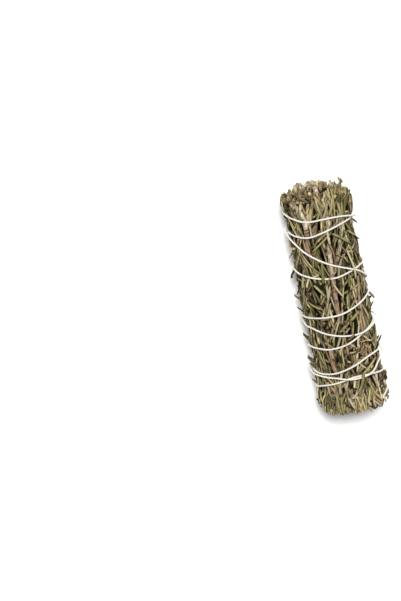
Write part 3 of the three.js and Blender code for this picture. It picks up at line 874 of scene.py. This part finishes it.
def sprig_tree():
    """Grows solid stems and needles from lines: wood gets a round section, a needle a flat grooved one."""
    tree, given, result = new_tree("rosemary_sprig", {
        "Needle Thickness": ("NodeSocketFloat", 0.72), "Groove": ("NodeSocketFloat", 0.42),
        "Needle Sides": ("NodeSocketInt", 8), "Stem Sides": ("NodeSocketInt", 12),
        "Bark Relief": ("NodeSocketFloat", 0.16 * MM), "Leaf": ("NodeSocketMaterial", None),
        "Bark": ("NodeSocketMaterial", None), "Cut Wood": ("NodeSocketMaterial", None)})
    stuff, breadth, facing = [
        add_node(tree, "GeometryNodeInputNamedAttribute", {"data_type": LINE_ATTRIBUTES[name]},
                 {"Name": name}).outputs["Attribute"] for name in ("stuff", "breadth", "facing")]
    spot = add_node(tree, "GeometryNodeInputPosition").outputs[0]
    parts = add_node(tree, "ShaderNodeSeparateXYZ", None, {0: spot}).outputs
    grown = add_node(tree, "GeometryNodeJoinGeometry")
    for kind, sides, coat in ((PITH, "Stem Sides", "Cut Wood"), (WOOD, "Stem Sides", "Bark"),
                              (LEAF, "Needle Sides", "Leaf")):
        chosen = add_node(tree, "FunctionNodeCompare", {"data_type": "FLOAT", "operation": "EQUAL"},
                          {"A": stuff, "B": kind, "Epsilon": 0.1})
        lines = add_node(tree, "GeometryNodeSeparateGeometry", {"domain": "POINT"},
                         {"Geometry": given["Geometry"], "Selection": chosen.outputs[0]})
        curve = add_node(tree, "GeometryNodeMeshToCurve", None, {"Mesh": lines.outputs["Selection"]})
        turned = add_node(tree, "GeometryNodeSetCurveNormal", {"mode": "FREE"},
                          {"Curve": curve.outputs[0], "Normal": facing})
        ring = add_node(tree, "GeometryNodeCurvePrimitiveCircle", None,
                        {"Radius": 1.0, "Resolution": given[sides]})
        section = stored(tree, ring.outputs["Curve"], "upper", parts["X"])
        section = stored(tree, section, "across", parts["Y"])
        if kind == LEAF:
            hollow = math_node(tree, "SUBTRACT", 1.0, math_node(tree, "ABSOLUTE", parts["Y"]))
            kept = math_node(tree, "SUBTRACT", 1.0, math_node(tree, "MULTIPLY", hollow, given["Groove"]))
            thick = math_node(tree, "MULTIPLY", kept, given["Needle Thickness"])
            shaped = add_node(tree, "ShaderNodeCombineXYZ", None,
                              {"X": math_node(tree, "MULTIPLY", thick, parts["X"]), "Y": parts["Y"]})
            section = add_node(tree, "GeometryNodeSetPosition", None,
                               {"Geometry": section, "Position": shaped.outputs[0]}).outputs[0]
        shape = add_node(tree, "GeometryNodeCurveToMesh", None, {
            "Curve": turned.outputs[0], "Profile Curve": section, "Scale": breadth,
            "Fill Caps": True}).outputs[0]
        if kind == WOOD:
            furrows = vector_node(tree, "MULTIPLY", {0: spot, 1: [1 / (size * MM) for size in FURROWS]})
            rough = add_node(tree, "ShaderNodeTexNoise", None,
                             {"Vector": furrows, "Scale": 1.0, "Detail": 2.0})
            centred = math_node(tree, "SUBTRACT", rough.outputs[0], 0.5)
            height = math_node(tree, "MULTIPLY", centred, given["Bark Relief"])
            normal = add_node(tree, "GeometryNodeInputNormal")
            push = vector_node(tree, "SCALE", {0: normal.outputs[0], "Scale": height})
            shape = add_node(tree, "GeometryNodeSetPosition", None,
                             {"Geometry": shape, "Offset": push}).outputs[0]
        tree.links.new(finished(tree, shape, given[coat]), grown.inputs[0])
    tree.links.new(grown.outputs[0], result[0])
    return tree


def outward_facing(tree, place, least):
    """How far a surface faces out from the bundle's axis, from the least to 1. Close to the bundle's
    ends every surface counts as facing out. The needles' colour is scaled by it, as painted shade
    on surfaces turned into the bundle."""
    parts = add_node(tree, "ShaderNodeSeparateXYZ", None, {0: place}).outputs
    height = math_node(tree, "SUBTRACT", parts["Z"], AXIS_HEIGHT * MM)
    radial = add_node(tree, "ShaderNodeCombineXYZ", None, {"X": parts["X"], "Z": height})
    outward = vector_node(tree, "NORMALIZE", {0: radial.outputs[0]})
    normal = add_node(tree, "ShaderNodeNewGeometry").outputs["Normal"]
    facing = vector_node(tree, "DOT_PRODUCT", {0: normal, 1: outward}, "Value")
    along = math_node(tree, "ABSOLUTE", parts["Y"])
    at_end = ranged(tree, along, (HALF_LENGTH - 8) * MM, (HALF_LENGTH - 1) * MM)
    return ranged(tree, math_node(tree, "MAXIMUM", facing, at_end), -0.1, 0.75, least, 1.0)


def needle_material():
    """Dried rosemary needles: leathery and matt, olive to khaki and brown, with dark tips and a paler
    underside. Shade is painted into the colour: along the rolled edges and the middle groove, on
    flanks turned into the bundle, and darkest deep in the thatch."""
    material, tree, shader = new_material("dried_rosemary_needle")
    given = line_values(tree, ("hue", "light", "across", "upper", "along", "depth"))
    place = object_place(tree)
    shift = math_node(tree, "MULTIPLY_ADD", noise(tree, place, 3, 3.0), 0.4, -0.2)
    hue = add_node(tree, "ShaderNodeMath", {"operation": "ADD", "use_clamp": True},
                   {0: given["hue"], 1: shift})
    leaf = colour_ramp(tree, [(0.0, "#686a38"), (0.3, "#827c4c"), (0.52, "#958a62"), (0.72, "#a89a78"),
                              (0.86, "#8c7454"), (1.0, "#776050")], hue.outputs[0])
    rib = math_node(tree, "ABSOLUTE", given["across"])
    # Painted shade: each needle darkens towards its rolled edges, where shade falls between neighbours.
    edge_shaded = mixed_colour(tree, ranged(tree, rib, 0.35, 0.95, 0.0, 0.88), leaf, "#2b2410")
    # Painted shade: a little darker along the middle groove of each needle.
    groove_shaded = mixed_colour(tree, ranged(tree, rib, 0.3, 0.0, 0.0, 0.2), edge_shaded, "#5d5436")
    felted = mixed_colour(tree, ranged(tree, given["upper"], 0.0, -0.5, 0.0, 0.55), groove_shaded, "#b3a88b")
    tipped = mixed_colour(tree, ranged(tree, given["along"], 0.86, 1.0, 0.0, 0.45), felted, "#5d4a2e")
    light = ranged(tree, given["light"], 0.0, 1.0, 0.44, 1.76)
    # Painted shade: each needle's own lightness is scaled down on flanks turned into the bundle, where they
    # lie in shade.
    strength = math_node(tree, "MULTIPLY", light, outward_facing(tree, place, 0.2))
    brightness_scaled = vector_node(tree, "SCALE", {0: tipped, "Scale": strength})
    # Painted shade: needles deep in the thatch or behind the bundle's end are mixed towards a near-black
    # brown, in place of the shade that falls there.
    shade = ranged(tree, given["depth"], 0.1, 0.38, 0.0, 0.97)
    set_inputs(tree, shader, {
        "Base Color": mixed_colour(tree, shade, brightness_scaled, "#171002"),
        "Normal": bumps(tree, noise(tree, place, 0.3, 2.0), 0.4, 0.05),
        "Roughness": 0.7, "Specular IOR Level": 0.1})
    return material


def bark_material():
    """Rosemary bark: dry and flaking, grey-brown with a mauve cast, pale where it is weathered, and
    with painted shade where it lies deep in the bundle.
    """
    material, tree, shader = new_material("rosemary_bark")
    given = line_values(tree, ("hue", "light", "depth"))
    place = object_place(tree)
    grain = add_node(tree, "ShaderNodeMapping", None, {"Vector": place, "Scale": (1.0, 0.22, 1.0)})
    fissures = noise(tree, grain.outputs["Vector"], 0.5, 5.0, 0.6)
    brown = colour_ramp(tree, [(0.32, "#3f3021"), (0.5, "#7b674f"), (0.68, "#a8967b")], fissures)
    pale = colour_ramp(tree, [(0.32, "#6f6250"), (0.5, "#aea18b"), (0.68, "#cbc1ad")], fissures)
    patches = ranged(tree, noise(tree, place, 11, 1.0), 0.35, 0.6, 0.3, 0.75)
    reddened = math_node(tree, "MULTIPLY", patches, ranged(tree, given["hue"], 0.45, 1.0))
    mauve = mixed_colour(tree, reddened, brown, "#80625a")
    cast = mixed_colour(tree, ranged(tree, given["hue"], 0.45, 0.0, 0.0, 0.9), mauve, pale)
    light = ranged(tree, given["light"], 0.0, 1.0, 0.7, 1.5)
    brightness_scaled = vector_node(tree, "SCALE", {0: cast, "Scale": light})
    # Painted shade: stems deep in the bundle are mixed towards a dark brown, in place of the shade that falls
    # there.
    shade = ranged(tree, given["depth"], 0.45, 0.85, 0.0, 0.85)
    set_inputs(tree, shader, {
        "Base Color": mixed_colour(tree, shade, brightness_scaled, "#1f1604"),
        "Normal": bumps(tree, fissures, 0.7, 0.12),
        "Roughness": 0.85, "Specular IOR Level": 0.1})
    return material


def cut_wood_material():
    """The cut end of a thin stem: pale dry wood, uneven with small pores."""
    material, tree, shader = new_material("cut_rosemary_wood")
    wood = mixed_colour(tree, noise(tree, object_place(tree), 0.35, 3.0), "#6d5c49", "#a3917a")
    set_inputs(tree, shader, {"Base Color": wood, "Roughness": 0.85})
    return material


sprig_coats = {"Leaf": needle_material(), "Bark": bark_material(), "Cut Wood": cut_wood_material()}
sprig_growth = sprig_tree()

for sprig in lay_bundle():
    base = path_mesh(sprig["node"] + "_paths", with_depths(sprig["lines"]), LINE_ATTRIBUTES)
    mesh = grown_mesh("rosemary_" + sprig["node"], base, sprig_growth, sprig_coats)
    piece = new_object("rosemary_" + sprig["node"], mesh)
    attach(piece, "root")
    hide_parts(sprig["node"])


# The loose pieces
# Broken needles, bits of stem and husks that lie on the sprigs, some of the needles over the
# thread. They come last and are laid on the highest places below them; where those are turns of
# thread, a needle's ends can stand a little off the leaves.
LOOSE_PIECES = [  # from (angle, y) to (angle, y), width, hue, lightness, over the thread
    ((-8, -12.6), (35, -4.0), 1.6, 0.35, 0.75, False),
    ((-4, -18.9), (13, -15.0), 1.4, 0.4, 0.7, True),
    ((12, 36.8), (44, 28.8), 1.7, 0.45, 0.65, False),
    ((-18, -22.2), (-18, -32.5), 1.1, 0.3, 0.85, False),
    ((-14.5, -21.8), (-14.5, -33.0), 1.1, 0.35, 0.95, False),
    ((-11, -22.5), (-11, -32.0), 1.1, 0.3, 0.85, False),
    ((16, 58.0), (15, 44.0), 1.2, 0.45, 0.8, False),
    ((19.5, 59.0), (18.5, 42.0), 1.2, 0.5, 0.95, False),
    ((23, 58.5), (22, 43.0), 1.1, 0.45, 0.85, False),
    ((31, 27.0), (33, 12.5), 1.3, 0.7, 0.7, True),
    ((32, 13.5), (34, 2.5), 1.2, 0.5, 1.0, False),
    ((-16, 23.0), (-21, 9.0), 1.6, 0.05, 0.7, True),
    ((-13, 15.0), (-17, 4.0), 1.2, 0.15, 0.8, False),
    ((-10, 15.5), (4, 18.6), 0.8, 0.9, 0.4, True),
    ((15, -35.6), (4, -47.4), 1.7, 0.3, 0.75, True),
    ((57, -33.0), (57, -40.0), 1.6, 0.86, 1.0, False),
    ((61.5, -33.5), (62, -40.5), 1.6, 0.84, 1.1, False),
    ((27, -17.5), (38, -23.0), 1.3, 0.5, 0.9, False),
    ((30, -17.0), (42, -22.0), 1.3, 0.55, 0.8, False),
    ((62, -43.5), (42, -51.0), 1.3, 0.45, 0.8, False),
    ((7, 51.0), (-10, 47.6), 1.3, 0.4, 0.75, False),
    ((-3, 12.0), (8, 5.0), 1.0, 0.5, 0.8, False),
    ((68, 36.0), (91, 24.0), 1.5, 0.3, 0.45, True),
    ((60, 34.5), (84, 27.5), 1.4, 0.45, 0.7, True),
    ((-46, 9.0), (-62, 1.5), 1.2, 0.6, 0.95, False),
    ((-60, 7.0), (-40, 3.0), 1.1, 0.7, 0.85, False),
    ((-52, 4.5), (-30, 0.5), 1.2, 0.35, 0.7, False),
    ((-20, 8.0), (-30, 3.0), 0.9, 0.5, 0.75, False),
    ((33, 3.0), (14, -3.5), 1.3, 0.5, 0.6, False),
    ((20, 25.0), (30, 18.0), 1.3, 0.4, 0.85, False),
    ((36, -8.0), (37, -17.0), 1.5, 0.8, 0.85, False),
]
LOOSE_TWIGS = [  # from (angle, y) to (angle, y), radius, tone of the bark
    ((-31, -21.5), (-29, -34.0), 1.0, 0.95),
    ((-31, 41.5), (-34, 53.5), 0.85, 0.05),
    ((-28, 43.5), (-20, 53.5), 0.7, 0.12),
    ((9, 45.5), (2, 33.0), 0.55, 0.1),
    ((44, 12.0), (36, -6.0), 0.6, 0.6),
]
TWIG_STEPS = 15
BENDING = {False: 0.12, True: 0.32}  # how far a piece bends down per millimetre; True: over the thread
HUSKS = 130
HUSK_ZONE = ((6, 40), (-31.0, -18.0))  # where the husks lie thickest: angles, heights along Y


def resting_places(places, half_thickness, over_thread):
    """A loose piece's points laid on the highest places below it, from which it bends down a little,
    and more if it lies over the thread. That doesn't always bring its ends down to the leaves."""
    tops = []
    for angle, y, t in places:
        top = max(pile_top(angle + turn, y) for turn in (-2, 0, 2))
        for strand_y, strand_distance, slant in strands[round(angle) % 360]:
            if over_thread and abs(y - strand_y) * slant < 1.2:
                top = max(top, strand_distance + THREAD_DIAMETER / 2)
        tops.append((top + half_thickness, on_bundle(angle, BUNDLE_RADIUS, y)))
    resting = []
    for (angle, y, t), (_, spot) in zip(places, tops):
        distance = max(top - BENDING[over_thread] * (spot - other).length for top, other in tops)
        if not over_thread:
            distance = pressed_distance(angle, distance, y, half_thickness)
        resting.append((angle, y, min(distance, LOOSE_LIMIT - half_thickness)))
    return resting


def lay_loose_pieces():
    draw = random.Random(5)
    lines = []
    for start, end, radius, tone in LOOSE_TWIGS:
        places = [(lerp(start[0], end[0], i / TWIG_STEPS) + 1.2 * math.sin(i / 2.3),
                   lerp(start[1], end[1], i / TWIG_STEPS), i / TWIG_STEPS) for i in range(TWIG_STEPS + 1)]
        points, breadths = [], []
        for i, (angle, y, distance) in enumerate(resting_places(places, 0.5 * radius, False)):
            raise_pile(angle, y, distance, radius, radius)
            points.append(on_bundle(angle, distance, y))
            breadths.append(radius * (1.15 - 0.3 * i / TWIG_STEPS) + 0.15 * max(0.0, math.sin(1.7 * i)) ** 3)
        lines.append(line_rows(points, 0, 0, WOOD, breadths, tone, 0.6))
    for start, end, width, hue, light, over_thread in LOOSE_PIECES:
        bend = draw.gauss(0, 0.8)
        places = []
        for i in range(NEEDLE_STATIONS):
            t = i / (NEEDLE_STATIONS - 1)
            angle = lerp(start[0], end[0], t) + bend * math.sin(math.pi * t)
            places.append((angle, lerp(start[1], end[1], t), t))
        half_thickness = width * NEEDLE_SHAPE / 2
        points = []
        for angle, y, distance in resting_places(places, half_thickness, over_thread):
            raise_pile(angle, y, distance, width / 2, half_thickness)
            points.append(on_bundle(angle, distance, y))
        lines.append(needle_rows(draw, points, width, hue, 0.85 * light))
    for i in range(HUSKS):
        in_zone = i % 3 == 0
        angle, y = draw.uniform(0, 360), draw.uniform(-55, 52)
        if in_zone:
            angle, y = draw.uniform(*HUSK_ZONE[0]), draw.uniform(*HUSK_ZONE[1])
        heading, length = draw.uniform(0, 6.28), draw.uniform(3, 6)
        places = needle_places((angle, y), heading, 1, length, clamp(draw.gauss(0, 0.9), -1.3, 1.3))
        points = laid_points(places, pile_top(angle, y), 0.3, 1.0 if in_zone else 0.5)
        if points:
            placed = [on_bundle(*point) for point in points]
            lines.append(needle_rows(draw, placed, draw.uniform(0.8, 1.3), draw.uniform(0.7, 1.0),
                                     draw.uniform(0.2, 0.9)))
    base = path_mesh("loose_leaf_paths", with_depths(lines), LINE_ATTRIBUTES)
    mesh = grown_mesh("loose_leaves", base, sprig_growth, sprig_coats)
    piece = new_object("loose_leaves", mesh)
    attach(piece, "root")


lay_loose_pieces()


# Light
# Plain studio light: white walls all round, a dimmer ceiling that is brightest towards the tip
# end and the right, and one broad soft key high above the tip end, so that shadows stay short.
KEY_DIRECTION = (0.0, 0.50, 0.86)
KEY_SPREAD = 17  # how wide the key looks from the bundle, in degrees
KEY_STRENGTH = 4.4
BRIGHT_SIDE = (0.4, 0.9, 0.0)  # where the ceiling is brightest


def hang_key():
    data = bpy.data.lights.new("key", "SUN")
    data.angle = math.radians(KEY_SPREAD)
    data.energy = KEY_STRENGTH
    light = new_object("key", data)
    light.rotation_mode = "QUATERNION"
    light.rotation_quaternion = (-Vector(KEY_DIRECTION)).to_track_quat("-Z", "Y")


def light_room():
    world = bpy.data.worlds.new("surround")
    bpy.context.scene.world = world
    world.use_nodes = True
    tree = world.node_tree
    direction = add_node(tree, "ShaderNodeTexCoord").outputs["Generated"]
    height = add_node(tree, "ShaderNodeSeparateXYZ", None, {0: direction}).outputs["Z"]
    brightwards = vector_node(tree, "DOT_PRODUCT", {0: direction, 1: BRIGHT_SIDE}, "Value")
    ceiling = ranged(tree, brightwards, -0.8, 0.6, 0.16, 0.5)
    set_inputs(tree, tree.nodes["Background"], {
        "Color": "#ffffff", "Strength": ranged(tree, height, 0.05, 0.35, 1.0, ceiling)})
    bpy.context.scene.view_settings.view_transform = "Standard"


hang_key()
light_room()


# The camera
# It looks down on the lying bundle, a little from its tip end, and is rolled so that the
# bundle leans in the picture. It aims well to the left of the bundle, which stays on the right.
LENS = 78.0
SENSOR = 36.0
DISTANCE = 651.0
TILT = math.radians(17)
LEAN = math.radians(12.9)
PICTURE_OFFSET = (67.05, 1.45)  # from the picture's centre to the bundle's, right and up


def place_camera():
    back = Vector((0, math.sin(TILT), math.cos(TILT)))
    lengthwise = Vector((0, math.cos(TILT), -math.sin(TILT)))
    sideways = Vector((1, 0, 0))
    up = lengthwise * math.cos(LEAN) + sideways * math.sin(LEAN)
    right = sideways * math.cos(LEAN) - lengthwise * math.sin(LEAN)
    middle = Vector((0, 0, AXIS_HEIGHT))
    aim = middle - right * PICTURE_OFFSET[0] - up * PICTURE_OFFSET[1]
    data = bpy.data.cameras.new("camera")
    data.lens = LENS
    data.sensor_width = SENSOR
    data.sensor_fit = "AUTO"
    camera = new_object("camera", data)
    camera.location = (aim + back * DISTANCE) * MM
    camera.rotation_mode = "QUATERNION"
    camera.rotation_quaternion = Matrix([[right[i], up[i], back[i]] for i in range(3)]).to_quaternion()
    bpy.context.scene.camera = camera


place_camera()
